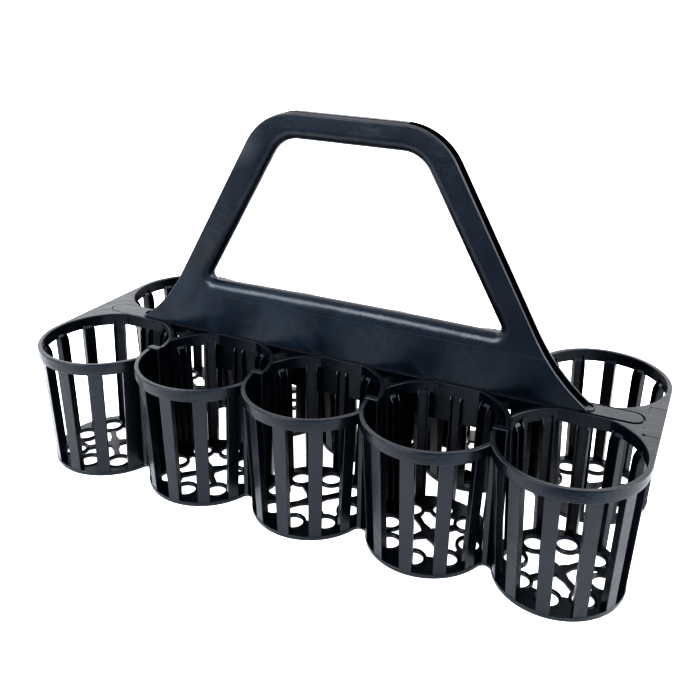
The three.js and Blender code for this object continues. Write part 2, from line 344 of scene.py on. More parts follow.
def pockets():
    bag = Bag()
    wide, narrow = pocket(SLAT_HALF), pocket((NARROW[1] - NARROW[0]) / 2)
    for c, kind, angle in slat_places():
        if angle != (90 if c["y"] < 0 else 270):
            bag.add(*(wide if kind == "wide" else narrow), (c["x"], c["y"], 0), angle)
    return bag.object("pockets")


def slat_places():
    mid = (NARROW[0] + NARROW[1]) / 2
    out = []
    for c in cups:
        for k in range(12):
            a = 30 * k
            if (c["right"] and a == 0) or (c["left"] and a == 180):
                continue
            if c["right"] and a in (30, 330):
                out.append((c, "narrow", mid if a == 30 else -mid))
            elif c["left"] and a in (150, 210):
                out.append((c, "narrow", 180 - mid if a == 150 else 180 + mid))
            else:
                out.append((c, "wide", a))
    return out


def slats():
    bag = Bag()
    wide = slat(SLAT_HALF)
    narrow = slat((NARROW[1] - NARROW[0]) / 2)
    flanges = {q: (web_flange(q, NARROW[1] - 1.5, INNER_END), web_flange(q, 21.0, NARROW[0] + 1.5)) for q in (1, -1)}
    wall_side = {q: web_flange(q, 19.5, NARROW[0] + 1.5) for q in (1, -1)}
    for c, kind, angle in slat_places():
        bag.add(*(wide if kind == "wide" else narrow), (c["x"], c["y"], 0), angle)
        inner = math.sin(math.radians(angle)) * c["y"] < 0
        if kind == "narrow" and inner:
            sign = 1 if math.sin(math.radians(2 * angle)) > 0 else -1
            for flange in flanges[sign]:
                bag.add(*flange, (c["x"], c["y"], 0), angle)
        elif kind == "narrow" and abs(c["x"]) > 170 and math.cos(math.radians(angle)) * c["y"] < 0:
            # on an end cup, the outer slat reaches in behind the neighbour's wall
            sign = 1 if math.sin(math.radians(2 * angle)) > 0 else -1
            bag.add(*wall_side[sign], (c["x"], c["y"], 0), angle)
    return bag.object("slats")


def floors(odd):
    bag = Bag()
    n = 144
    disc = loft([at_z(circle(BASE_R - 2.1, n), UNDER_Z), at_z(circle(BASE_R - 1.8, n), 0.2), at_z(circle(BASE_R - 1.6, n), 0),
                 at_z(circle(BASE_R - 0.5, n), 0), at_z(circle(BASE_R - 0.15, n), 0.15), at_z(circle(BASE_R, n), 0.5),
                 at_z(circle(BASE_R, n), FLOOR_T - 0.3), at_z(circle(BASE_R - 0.3, n), FLOOR_T)])
    for c in cups:
        if c["i"] % 2 == odd:
            bag.add(*disc, (c["x"], c["y"], 0))
    return bag.object("floors")


def necks():
    """The bridges between neighbouring floors, arched in plan."""
    apex = 13.4
    rf = ((PITCH / 2) ** 2 + apex ** 2 - BASE_R ** 2) / (2 * (BASE_R - apex))
    yc = apex + rf
    reach = math.asin(min(1.0, PITCH / 2 / (BASE_R + rf)))

    def outline(inset):
        r = rf + inset
        front = []
        for k in range(-8, 9):
            a = reach * k / 8
            front.append((r * math.sin(a), -yc + r * math.cos(a)))
        pts = front + [(9, -10), (9, 10)] + [(x, -y) for x, y in reversed(front)] + [(-9, 10), (-9, -10)]
        return pts

    neck = loft([at_z(outline(0.45), 0.02), at_z(outline(0), 0.5), at_z(outline(0), FLOOR_T - 0.3), at_z(outline(0.3), FLOOR_T - 0.02)])
    bag = Bag()
    for c in cups:
        if c["right"]:
            bag.add(*neck, (c["x"] + PITCH / 2, c["y"], 0))
    return bag.object("necks")


def hole_lips():
    bag = Bag()
    n = 40
    lip = loft([at_z(circle(LIP_HOLE_R + 0.25, n), FLOOR_T - 1), at_z(circle(LIP_HOLE_R + 0.15, n), FLOOR_T + 0.1),
                at_z(circle(LIP_HOLE_R - 0.05, n), LIP_Z - 0.35), at_z(circle(LIP_HOLE_R - 0.4, n), LIP_Z)])
    for c in cups:
        for k in range(8):
            a = math.radians(45 * k)
            bag.add(*lip, (c["x"] + HOLE_RING_R * math.cos(a), c["y"] + HOLE_RING_R * math.sin(a), 0))
    return bag.object("lips")


def floor_cuts():
    bag = Bag()
    n = 40
    hole = loft([at_z(circle(HOLE_R + 0.4, n), -0.6), at_z(circle(HOLE_R + 0.4, n), UNDER_Z), at_z(circle(HOLE_R, n), UNDER_Z + 0.4),
                 at_z(circle(HOLE_R, n), LIP_Z - 0.9), at_z(circle(HOLE_R + 0.3, n), LIP_Z - 0.45), at_z(circle(HOLE_R + 1.0, n), LIP_Z),
                 at_z(circle(HOLE_R + 1.9, n), LIP_Z + 0.6)])
    for c in cups:
        for k in range(8):
            a = math.radians(45 * k)
            bag.add(*hole, (c["x"] + HOLE_RING_R * math.cos(a), c["y"] + HOLE_RING_R * math.sin(a), 0))
    return bag.object("holes")


def star_outline(grow=0.0):
    """One opening of the floor's star, on the +X axis."""
    d = HOLE_RING_R / math.sqrt(2)
    r = LIP_HOLE_R + 0.15 - grow
    s = SPOKE_HALF - grow
    reach = HOLE_RING_R - math.sqrt(r * r - s * s)
    half = []
    hub = HUB_R - grow
    half.append((hub + 0.9, 0.9 - 0.25))
    half.append(((reach * 0.5 + s) / math.sqrt(2), (reach * 0.5 - s) / math.sqrt(2)))
    a0 = math.degrees(math.atan2((reach - s) / math.sqrt(2) - d, (reach + s) / math.sqrt(2) - d)) % 360
    for k in range(7):
        a = math.radians(a0 + 3 + (288 - a0 - 3) * k / 6)
        half.append((d + r * math.cos(a), d + r * math.sin(a)))
    for k in range(7):
        a = math.radians(122 + (180 - 122) * k / 6)
        half.append((HOLE_RING_R + r * math.cos(a), r * math.sin(a)))
    low = [(x, -y) for x, y in reversed(half[:-1])]
    return [(hub, 0.0)] + half + low


def star_cuts():
    bag = Bag()
    levels = [at_z(star_outline(0.5), -0.5), at_z(star_outline(0.35), 0), at_z(star_outline(), 0.4),
              at_z(star_outline(), FLOOR_T - 0.3), at_z(star_outline(0.3), FLOOR_T), at_z(star_outline(0.4), FLOOR_T + 0.3)]
    levels = [levels[0], levels[2], levels[3], levels[5]]
    shell = loft(levels)
    for c in cups:
        for k in range(4):
            bag.add(*shell, (c["x"], c["y"], 0), 90 * k)
    return bag.object("stars")


def junction_walls():
    """Between neighbours: the front half is the right cup's ring carried down
    to the floor and the back half the left cup's, with a rounded knob where
    they meet."""
    bag = Bag()
    half = PITCH / 2
    inner, outer = BORE_R, RIM_R

    def arc(z, reach, y_end, slim):
        """The front part, from its free edge at -reach to just past the middle."""
        stations = [0.0, 0.02] + [i / 12 for i in range(1, 13)]
        right, left = [], []
        for u in stations:
            y = -reach + (reach + y_end) * u
            trim = 0.5 if u == 0.0 else 0.0
            right.append((half - math.sqrt(max(0.0, (inner + slim) ** 2 - y * y)) - trim, y))
            left.append((half - math.sqrt(max(0.0, (outer - slim) ** 2 - y * y)) + trim, y))
        return right + list(reversed(left))

    def wall(sign):
        levels = []
        for z, reach, slim in ((1.5, WALL_FOOT_Y, 0.05), (3.2, 16.6, 0.05), (4.6, 18.2, 0.05), (6.4, WALL_Y, 0.05),
                               (RIM_LOW - 2.5, WALL_Y, 0.02), (RIM_LOW + 0.5, WALL_TOP_Y - 0.6, 0.02),
                               (RIM_Z - 0.8, WALL_TOP_Y, 0.02), (RIM_Z - 0.25, WALL_TOP_Y, 0.22), (RIM_Z - 0.02, WALL_TOP_Y - 0.4, 0.75)):
            pts = arc(z, reach, -1.9, slim)
            if sign > 0:
                pts = [(-x, -y) for x, y in pts]
            levels.append(at_z(pts, z))
        return loft(levels)

    def knob():
        """Joins the two arcs, and ends a little above the rims."""
        def outline(a, b, r):
            return fillet([(-a, -b, r), (a, -b, r), (a, b, r), (-a, b, r)], 5)
        return loft([
            at_z(outline(4.6, 2.35, 1.0), 1.5), at_z(outline(4.7, 2.4, 1.1), RIM_Z - 2.8),
            at_z(outline(5.0, 2.7, 1.3), RIM_Z - 2.2), at_z(outline(5.0, 2.7, 1.3), RIM_Z + 0.3),
            at_z(outline(4.75, 2.45, 1.2), RIM_Z + 0.75), at_z(outline(4.2, 1.9, 1.0), RIM_Z + 0.9)])

    bags = [Bag(), Bag(), Bag()]
    for c in cups:
        if c["right"]:
            for bag, shell in zip(bags, (wall(-1), wall(1), knob())):
                bag.add(*shell, (c["x"] + half, c["y"], 0))
    o = bags[0].object("walls")
    boolean(o, bags[1].object("walls_b"), "UNION")
    boolean(o, bags[2].object("walls_c"), "UNION")
    return o


def area(pts):
    return 0.5 * sum(pts[i - 1][0] * pts[i][1] - pts[i][0] * pts[i - 1][1] for i in range(len(pts)))


# ------------------------------------------------------- decks and their edge
def decks():
    bag = Bag()
    for side in (-1, 1):
        x0, x1 = sorted((side * DECK_IN_X, side * (END_X - 1.0)))
        bag.add(*slab([(x0, -ROW_Y), (x1, -ROW_Y), (x1, ROW_Y), (x0, ROW_Y)], RIM_Z - DECK_T, RIM_Z - 0.02))
    return bag.object("decks")


def deck_edges():
    bag = Bag()
    centre = (COLUMNS - 1) / 2 * PITCH
    for side in (-1, 1):
        prof = [(side * (centre + r), z) for r, z in rim_profile()]
        bag.add(*loft([at_y(prof, -ROW_Y - 1.2), at_y(prof, ROW_Y + 1.2)]))
    return bag.object("deck_edges")


def gussets():
    bag = Bag()
    centre = (COLUMNS - 1) / 2 * PITCH
    z0, z1 = RIM_LOW - 22.0, RIM_LOW + 1.5
    for side in (-1, 1):
        for row in (-1, 1):
            pts = fillet([(centre + slat_r(z0) - 1.0, z0, 0), (centre + slat_r(z0) + 0.9, z0, 0.7),
                          (centre + LIP_R - 0.4, z1, 0), (centre + slat_r(z1) - 1.0, z1, 0)], 3)
            pts = [(side * x, z) for x, z in pts]
            bag.add(*loft([at_y(pts, row * ROW_Y - 1.1), at_y(pts, row * ROW_Y + 1.1)]))
    return bag.object("gussets")


def bar(half, end, z0, z1, edge=0.0):
    def outline(inset):
        pts = []
        for side in (1, -1):
            for i in range(17):
                a = math.pi * (i / 16 - 0.5)
                pts.append((side * (end - half + (half - inset) * math.cos(a)), side * (half - inset) * math.sin(a)))
        return pts
    if edge:
        return loft([at_z(outline(0), z0), at_z(outline(0), z1 - edge), at_z(outline(edge * 0.3), z1 - edge * 0.3), at_z(outline(edge), z1)])
    return slab(outline(0), z0, z1)


# --------------------------------------------------------- spine and handle
leg_angle = math.atan(LEG_SLOPE)


def leg_x(z):
    return LEG_X + (LEG_Z - z) / LEG_SLOPE


def outer_edge(inset=0.0, bend=18, flare=20):
    """Right half of the outer outline, from the top of the grip to the deck.
    A crown (an inset under zero) fades out round the bend and down the leg."""
    tangent = BEND_R * math.tan(leg_angle / 2)
    cx, cz = leg_x(HANDLE_TOP_Z) - tangent, HANDLE_TOP_Z - BEND_R
    pts = []
    for i in range(bend + 1):
        a = math.pi / 2 - leg_angle * i / bend
        r = BEND_R - (inset if inset > 0 else inset * (1 - 0.65 * i / bend))
        pts.append((cx + r * math.cos(a), cz + r * math.sin(a)))
    sx, sz = leg_x(FLARE_TOP_Z), FLARE_TOP_Z
    fx, fz = sx + FLARE_R * math.sin(leg_angle), sz + FLARE_R * math.cos(leg_angle)
    a0 = math.atan2(sz - fz, sx - fx)
    a1 = -math.pi - math.asin((RIM_Z - fz) / FLARE_R)
    for i in range(flare + 1):
        a = a0 + (a1 - a0) * i / flare
        r = FLARE_R + max(inset, 0)
        pts.append((fx + r * math.cos(a), fz + r * math.sin(a)))
    return pts


def window_outline(grow, top=14, foot=7):
    k = WINDOW_SLOPE
    side = lambda z: WINDOW_X + (WINDOW_Z - z) / k
    angle = math.atan(k)
    arcs = []
    t = WINDOW_TOP_R * math.tan(angle / 2)
    arcs.append((side(WINDOW_TOP_Z) - t, WINDOW_TOP_Z - WINDOW_TOP_R, WINDOW_TOP_R, math.pi / 2, math.pi / 2 - angle, top))
    t = WINDOW_FOOT_R * math.tan((math.pi - angle) / 2)
    arcs.append((side(WINDOW_FOOT_Z) - t, WINDOW_FOOT_Z + WINDOW_FOOT_R, WINDOW_FOOT_R, math.pi / 2 - angle, -math.pi / 2, foot))
    right = []
    for cx, cz, r, a0, a1, n in arcs:
        for i in range(n + 1):
            a = a0 + (a1 - a0) * i / n
            right.append((cx + (r + grow) * math.cos(a), cz + (r + grow) * math.sin(a)))
    end, n = right[-1][0], 12
    foot = [(end * (1 - 2 * i / n), WINDOW_FOOT_Z - grow + CROWN * (1 - (1 - 2 * i / n) ** 2)) for i in range(1, n)]
    return right + foot + [(-x, z) for x, z in reversed(right)]


def handle_plate():
    """The spine and handle as one plate whose window edge is rolled over."""
    e = 0.7
    outer_levels = []
    for k in range(4):
        a = math.pi / 2 * k / 3
        outer_levels.append((e * (1 - math.sin(a)), -HALF_T + e * (1 - math.cos(a))))
    outer_levels += [(-0.55, -5.1), (-1.05, -4.1), (-1.45, -3.0), (-1.6, -2.0)]
    outer_levels += [(i, -y) for i, y in reversed(outer_levels)]
    roll_levels = []
    for k in range(9):
        a = math.pi / 2 * k / 8
        roll_levels.append((ROLL * (1 - math.sin(a)), -HALF_T * math.cos(a)))
    roll_levels += [(g, -y) for g, y in reversed(roll_levels[:-1])]

    def outer(inset):
        right = outer_edge(inset)
        x_end = right[-1][0]
        right = right[:-1] + [(x_end, RIM_Z - 0.5), (x_end - 1.0, RIM_Z - 6)]
        return right + [(-x, z) for x, z in reversed(right)]

    verts, faces = [], []
    loops = []
    for inset, y in outer_levels:
        base = len(verts)
        ring = at_y(outer(inset), y)
        verts += ring
        loops.append((base, len(ring)))
    outer_loops = loops
    loops = []
    for grow, y in roll_levels:
        base = len(verts)
        ring = at_y(window_outline(grow), y)
        verts += ring
        loops.append((base, len(ring)))
    for group in (outer_loops, loops):
        for (b0, n), (b1, _) in zip(group, group[1:]):
            for i in range(n):
                j = (i + 1) % n
                faces.append((b0 + i, b0 + j, b1 + j, b1 + i))
    for (bo, no), (bi, ni) in ((outer_loops[0], loops[0]), (outer_loops[-1], loops[-1])):
        rings = [[Vector(verts[bo + i]) for i in range(no)], [Vector(verts[bi + i]) for i in range(ni)]]
        index = [bo + i for i in range(no)] + [bi + i for i in range(ni)]
        for t in tessellate_polygon([[Vector((p.x, p.z, 0)) for p in r] for r in rings]):
            faces.append(tuple(index[i] for i in t))
    return Bag().add(verts, faces).object("carrier_mould")


def panel():
    """The spine under the fine line stands out a little on both faces, with a
    bevelled upper edge."""
    edge = [p for p in outer_edge(0.9) if p[1] < LINE_Z - 1]
    out = 0.5

    def outline(drop):
        right = [(leg_x(LINE_Z - drop) + 0.3, LINE_Z - drop)] + edge[:-1]
        right += [(right[-1][0], RIM_Z - 4)]
        return right + [(-x, z) for x, z in reversed(right)]

    levels = [at_y(outline(out), -HALF_T - out), at_y(outline(0.0), -HALF_T + 0.02), at_y(outline(0.0), HALF_T - 0.02), at_y(outline(out), HALF_T + out)]
    return Bag().add(*loft(levels)).object("panel")


def channels():
    """What is cut from the outside of the legs, the bends and the flares."""
    gap = HALF_T - SKIN
    inner = outer_edge(CHANNEL_DEPTH)[:19]
    off = CHANNEL_DEPTH / math.sin(leg_angle)
    outside = [(x + 6, z + 14) if i <= 18 else (x + 14, z + 9) for i, (x, z) in enumerate(outer_edge())]
    start = inner[0][0] + 3
    pocket = [(start, HANDLE_TOP_Z + 10)] + [p for p in outside[1:] if p[0] > start + 4]
    pocket += [(SPINE_END_X + 14, RIM_Z + 0.4), (leg_x(RIM_Z) - off, RIM_Z + 0.4)]
    pocket += [p for p in reversed(inner[1:]) if p[0] > start + 2]
    pocket += [(start + 2.5, HANDLE_TOP_Z - 6), (start, HANDLE_TOP_Z - 1.2)]
    bag = Bag()
    for side in (-1, 1):
        pts = [(side * x, z) for x, z in pocket]
        bag.add(*loft([at_y(pts, -gap), at_y(pts, gap)]))
    return bag.object("channels")


def grip_groove():
    x = 44.0
    z = HANDLE_TOP_Z
    bag = Bag()
    for mid in (-3.3, 3.3):
        sec = [(mid - 0.65, z + 3), (mid + 0.65, z + 3), (mid + 0.5, z - 1.0), (mid - 0.5, z - 1.0)]
        bag.add(*loft([[(-x, y, zz) for y, zz in sec], [(x, y, zz) for y, zz in sec]]))
    return bag.object("grip_groove")


def foot_hollow():
    return Bag().add(*bar(LEDGE_Y - SKIN, FOOT_END_X - 1.5, RIM_LOW - 1, RIM_Z - DECK_T)).object("foot_hollow")


def keel():
    e = 0.5
    pts = lambda inset: [(-KEEL_X + inset, RIM_Z - 1.5), (-KEEL_X + inset, KEEL_Z + inset), (KEEL_X - inset, KEEL_Z + inset), (KEEL_X - inset, RIM_Z - 1.5)]
    y = HALF_T - 0.02
    return Bag().add(*loft([at_y(pts(e), -y), at_y(pts(e * 0.3), -y + e * 0.3), at_y(pts(0), -y + e), at_y(pts(0), y - e),
                            at_y(pts(e * 0.3), y - e * 0.3), at_y(pts(e), y)])).object("keel")


def hollow():
    """The inside of the spine and its keel, open underneath."""
    gap = HALF_T - SKIN
    off = (CHANNEL_DEPTH + 3.0) / math.sin(leg_angle)
    top, low = WINDOW_FOOT_Z - 2 * ROLL, RIM_LOW - 1
    x = lambda z: leg_x(z) - off
    end = KEEL_X - SKIN
    pts = [(-x(top), top), (x(top), top), (x(low), low), (end, low), (end, KEEL_Z - 1), (-end, KEEL_Z - 1), (-end, low), (-x(low), low)]
    return Bag().add(*loft([at_y(pts, -gap), at_y(pts, gap)])).object("hollow")


def tongue(side, half, tip, x_from, levels):
    """A tongue with a rounded end, pointing outwards; levels are (z, inset)."""
    out = []
    for z, inset in levels:
        r = half - inset
        pts = [(tip - half + r * math.cos(math.pi * (i / 16 - 0.5)), r * math.sin(math.pi * (i / 16 - 0.5))) for i in range(17)]
        pts += [(x_from, r), (x_from, -r)]
        if side < 0:
            pts = [(-x, y) for x, y in reversed(pts)]
        out.append(at_z(pts, z))
    return loft(out)


def trough_lines():
    """The joint around each end of the spine's foot: fine on the left, wide
    and uneven on the right."""
    o, b = Bag(), Bag()
    o.add(*tongue(-1, 8.35, FOOT_END_X + 0.35, 170, [(RIM_Z - 1.0, 0), (RIM_Z + 1, 0)]))
    b.add(*tongue(-1, 7.85, FOOT_END_X - 0.15, 168, [(RIM_Z - 2, 0), (RIM_Z + 2, 0)]))
    o.add(*tongue(1, 8.65, FOOT_END_X + 0.5, 172, [(RIM_Z - 1.1, 0.15), (RIM_Z + 1, -0.1)]))
    b.add(*tongue(1, 7.15, FOOT_END_X - 0.9, 168, [(RIM_Z - 2, 0), (RIM_Z + 2, 0)]))
    return boolean(o.object("trough"), b.object("trough_b"), "DIFFERENCE")


def tongue_pad():
    return Bag().add(*tongue(1, 7.1, FOOT_END_X - 0.95, 171, [(RIM_Z - 1.6, 0), (RIM_Z + 0.1, 0), (RIM_Z + 0.28, 0.2)])).object("tongue_pad")


def channel_ends():
    """A small lip closes each channel where the flare meets the deck."""
    o, b = Bag(), Bag()
    for side in (-1, 1):
        o.add(*tongue(side, HALF_T - 0.05, SPINE_END_X + 2.6, SPINE_END_X - 8, [(RIM_Z - 1.5, 0), (RIM_Z + 1.0, 0), (RIM_Z + 1.35, 0.35)]))
        b.add(*tongue(side, HALF_T - 1.35, SPINE_END_X + 1.3, SPINE_END_X - 12, [(RIM_Z - 0.3, 0), (RIM_Z + 2, -0.2)]))
    return boolean(o.object("lips"), b.object("lips_b"), "DIFFERENCE")


def deck_marks():
    """A fine square outline at the right end of the deck, with a pit at its corner."""
    bag = Bag()
    x0, x1, y, w = 213.9, END_X + 1, 19.8, 0.22
    for q in (-y, y):
        bag.add(*slab([(x0, q - w), (x1, q - w), (x1, q + w), (x0, q + w)], RIM_Z - 0.28, RIM_Z + 1))
    bag.add(*slab([(x0 - w, -y - w), (x0 + w, -y - w), (x0 + w, -9.6), (x0 - w, -9.6)], RIM_Z - 0.2, RIM_Z + 0.9))
    bag.add(*slab([(x0 - w, 9.6), (x0 + w, 9.6), (x0 + w, y + w), (x0 - w, y + w)], RIM_Z - 0.2, RIM_Z + 0.9))
    o = bag.object("marks")
    pit = Bag().add(*loft([at_z(circle(0.8, 12, x0 + 0.7, -y + 0.2), RIM_Z - 1.2), at_z(circle(1.45, 12, x0 + 0.7, -y + 0.2), RIM_Z + 0.5)]))
    return o, pit.object("pit")


def drop_specks(o):
    """Remove closed slivers of under a hundred vertices that cutting left behind."""
    bm = bmesh.new()
    bm.from_mesh(o.data)
    seen, specks = set(), []
    for v in bm.verts:
        if v in seen:
            continue
        part, todo = [], [v]
        seen.add(v)
        while todo:
            w = todo.pop()
            part.append(w)
            for e in w.link_edges:
                q = e.other_vert(w)
                if q not in seen:
                    seen.add(q)
                    todo.append(q)
        if len(part) < 100:
            specks += part
    bmesh.ops.delete(bm, geom=specks, context="VERTS")
    bm.to_mesh(o.data)
    bm.free()


def build():
    o = rims(0)
    boolean(o, bores(1), "DIFFERENCE")
    r1 = rims(1)
    boolean(r1, bores(0), "DIFFERENCE")
    boolean(o, r1, "UNION")
    d = decks()
    boolean(d, bores(None), "DIFFERENCE")
    boolean(o, d, "UNION")
    boolean(o, deck_edges(), "UNION")
    foot = Bag().add(*bar(LEDGE_Y, FOOT_END_X + 1.3, RIM_LOW, RIM_Z - 0.01, 0.35)).object("foot")
    boolean(o, foot, "UNION")
    h = handle_plate()
    boolean(h, panel(), "UNION")
    boolean(h, channels(), "DIFFERENCE")
    boolean(h, grip_groove(), "DIFFERENCE")
    boolean(h, o, "UNION")
    o = h
    boolean(o, trough_lines(), "DIFFERENCE")
    boolean(o, tongue_pad(), "UNION")
    boolean(o, channel_ends(), "UNION")
    for cut in deck_marks():
        boolean(o, cut, "DIFFERENCE")
    boolean(o, foot_hollow(), "DIFFERENCE")
    boolean(o, keel(), "UNION")
    boolean(o, hollow(), "DIFFERENCE")
    f = floors(0)
    boolean(f, floors(1), "UNION")
    boolean(f, necks(), "UNION")
    boolean(f, hole_lips(), "UNION")
    boolean(f, floor_cuts(), "DIFFERENCE")
    boolean(f, star_cuts(), "DIFFERENCE")
    boolean(o, junction_walls(), "UNION")
    boolean(f, slats(), "UNION")
    boolean(f, gussets(), "UNION")
    boolean(o, f, "UNION")
    boolean(o, pockets(), "DIFFERENCE")
    drop_specks(o)
    return o


carrier = build()
carrier.name = "carrier_mould"
carrier.data.name = "carrier_mould"


# ----------------------------------------------------------------- material
def node(tree, kind, at, **values):
    n = tree.nodes.new(kind)
    n.location = at
    for key, value in values.items():
        if hasattr(n, key):
            setattr(n, key, value)
        else:
            n.inputs[key.replace("_", " ")].default_value = value
    return n


def polypropylene():
    mat = bpy.data.materials.new("black_polypropylene")
    mat.use_nodes = True
    t = mat.node_tree
    t.nodes.clear()
    out = node(t, "ShaderNodeOutputMaterial", (900, 0))
    bsdf = node(t, "ShaderNodeBsdfPrincipled", (600, 0))
    bsdf.inputs["IOR"].default_value = 1.49
    t.links.new(bsdf.outputs[0], out.inputs[0])
    co = node(t, "ShaderNodeTexCoord", (-1400, 0))

    def noise(scale, detail, rough, at, distort=0.0):
        n = node(t, "ShaderNodeTexNoise", at)
        n.inputs["Scale"].default_value = scale
        n.inputs["Detail"].default_value = detail
        n.inputs["Roughness"].default_value = rough
        n.inputs["Distortion"].default_value = distort
        t.links.new(co.outputs["Object"], n.inputs["Vector"])
        return n

    def ramp(source, lo, hi, to_lo, to_hi, at):
        m = node(t, "ShaderNodeMapRange", at)
        m.clamp = True
        for k, v in (("From Min", lo), ("From Max", hi), ("To Min", to_lo), ("To Max", to_hi)):
            m.inputs[k].default_value = v
        t.links.new(source, m.inputs["Value"])
        return m

    flow = noise(22.0, 4.0, 0.55, (-1100, 300), 0.6)
    grain = noise(900.0, 3.0, 0.6, (-1100, 0))
    cloud = noise(34.0, 4.0, 0.55, (-1100, -300), 0.4)
    scuff = noise(260.0, 6.0, 0.7, (-1100, -600), 1.2)

    mix = node(t, "ShaderNodeMix", (100, 300), data_type="RGBA")
    mix.inputs[6].default_value = (0.0010, 0.0026, 0.0058, 1)
    mix.inputs[7].default_value = (0.0024, 0.0045, 0.0086, 1)
    t.links.new(ramp(flow.outputs["Fac"], 0.3, 0.72, 0.0, 1.0, (-700, 300)).outputs[0], mix.inputs[0])

    # a thin, cloudy painted reflection on the two faces of the spine and handle: a bluish sheen painted into the base
    # colour, strongest just above the rims and towards the left, fading up the handle
    place = node(t, "ShaderNodeSeparateXYZ", (-1100, 700))
    t.links.new(co.outputs["Object"], place.inputs[0])
    deep = node(t, "ShaderNodeMath", (-900, 900), operation="ABSOLUTE")
    t.links.new(place.outputs["Y"], deep.inputs[0])
    clouds = noise(30.0, 5.0, 0.6, (-1100, 1300), 0.8)
    factors = [ramp(deep.outputs[0], 0.0101, 0.0099, 0.0, 1.0, (-700, 1100)).outputs[0],
               ramp(place.outputs["Z"], 0.0925, 0.0945, 0.0, 1.0, (-700, 900)).outputs[0],
               ramp(place.outputs["Z"], 0.120, 0.150, 1.15, 0.03, (-700, 700)).outputs[0],
               ramp(place.outputs["X"], -0.16, 0.16, 1.0, 0.35, (-700, 500)).outputs[0],
               ramp(clouds.outputs["Fac"], 0.34, 0.66, 0.35, 1.25, (-700, 1300)).outputs[0]]
    painted_reflection_mask = factors[0]
    for i, f in enumerate(factors[1:]):
        m = node(t, "ShaderNodeMath", (-450 + 120 * i, 900), operation="MULTIPLY")
        t.links.new(painted_reflection_mask, m.inputs[0])
        t.links.new(f, m.inputs[1])
        painted_reflection_mask = m.outputs[0]
    # the painted reflection's light bluish grey, mixed over the base colour where the mask allows
    painted_reflection = node(t, "ShaderNodeMix", (350, 500), data_type="RGBA")
    painted_reflection.inputs[7].default_value = (0.0150, 0.0215, 0.0300, 1)
    t.links.new(painted_reflection_mask, painted_reflection.inputs[0])
    t.links.new(mix.outputs[2], painted_reflection.inputs[6])

    # the bend that a hand rubs most is chalky
    span = node(t, "ShaderNodeVectorMath", (-900, 1500), operation="DISTANCE")
    t.links.new(co.outputs["Object"], span.inputs[0])
    span.inputs[1].default_value = (-0.092, 0.0, 0.250)
    rubbed = node(t, "ShaderNodeMath", (200, 900), operation="MULTIPLY")
    t.links.new(ramp(span.outputs["Value"], 0.029, 0.012, 0.0, 0.8, (-700, 1500)).outputs[0], rubbed.inputs[0])
    t.links.new(factors[4], rubbed.inputs[1])
    rubbed.use_clamp = True
    chalk = node(t, "ShaderNodeMix", (470, 500), data_type="RGBA")
    chalk.inputs[7].default_value = (0.064, 0.059, 0.058, 1)
    t.links.new(rubbed.outputs[0], chalk.inputs[0])
    t.links.new(painted_reflection.outputs[2], chalk.inputs[6])
    t.links.new(chalk.outputs[2], bsdf.inputs["Base Color"])

    rough = node(t, "ShaderNodeMath", (100, -100), operation="ADD")
    t.links.new(ramp(cloud.outputs["Fac"], 0.3, 0.7, 0.26, 0.36, (-700, -300)).outputs[0], rough.inputs[0])
    t.links.new(ramp(scuff.outputs["Fac"], 0.55, 0.8, 0.0, 0.12, (-700, -600)).outputs[0], rough.inputs[1])
    t.links.new(rough.outputs[0], bsdf.inputs["Roughness"])

    fine = node(t, "ShaderNodeBump", (100, -400))
    fine.inputs["Strength"].default_value = 0.10
    fine.inputs["Distance"].default_value = 0.0002
    t.links.new(grain.outputs["Fac"], fine.inputs["Height"])
    wave = node(t, "ShaderNodeBump", (320, -400))
    wave.inputs["Strength"].default_value = 0.9
    wave.inputs["Distance"].default_value = 0.0012
    t.links.new(cloud.outputs["Fac"], wave.inputs["Height"])
    t.links.new(fine.outputs[0], wave.inputs["Normal"])
    t.links.new(wave.outputs[0], bsdf.inputs["Normal"])
    return mat


carrier.data.materials.clear()
carrier.data.materials.append(polypropylene())
for p in carrier.data.polygons:
    p.use_smooth = True
    p.material_index = 0
carrier.data.set_sharp_from_angle(angle=math.radians(32))
wn = carrier.modifiers.new("normals", "WEIGHTED_NORMAL")
wn.keep_sharp = True
wn.weight = 90

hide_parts("carrier")
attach(carrier, "root")


# -------------------------------------------------------------------- stage
def plain(name, colour, rough=0.9, glow=0.0):
    mat = bpy.data.materials.new(name)
    mat.use_nodes = True
    b = mat.node_tree.nodes["Principled BSDF"]
    b.inputs["Base Color"].default_value = (*colour, 1)
    b.inputs["Roughness"].default_value = rough
    b.inputs["Emission Color"].default_value = (1, 1, 1, 1)
    b.inputs["Emission Strength"].default_value = glow
    return mat


# a white table: its front edge lies just in front of the picture's lower edge
TABLE_Y, TABLE_TURN = -0.2875, 0.32
floor_mesh = bpy.data.meshes.new("floor")
s = 70.0
floor_mesh.from_pydata([(-s, TABLE_Y - TABLE_TURN * s, 0), (s, TABLE_Y + TABLE_TURN * s, 0), (s, s, 0), (-s, s, 0)], [], [(0, 1, 2, 3)])
floor = bpy.data.objects.new("floor", floor_mesh)
floor.location.z = -0.0003
bpy.context.scene.collection.objects.link(floor)
floor_mesh.materials.append(plain("pale_floor", (0.72, 0.72, 0.72), glow=0.62))
floor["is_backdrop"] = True

world = bpy.data.worlds.new("studio")
bpy.context.scene.world = world
world.use_nodes = True
wt = world.node_tree
wt.nodes.clear()
w_out = node(wt, "ShaderNodeOutputWorld", (900, 0))
w_bg = node(wt, "ShaderNodeBackground", (700, 0))
w_co = node(wt, "ShaderNodeTexCoord", (-600, 0))
w_sep = node(wt, "ShaderNodeSeparateXYZ", (-400, 0))
wt.links.new(w_co.outputs["Generated"], w_sep.inputs[0])


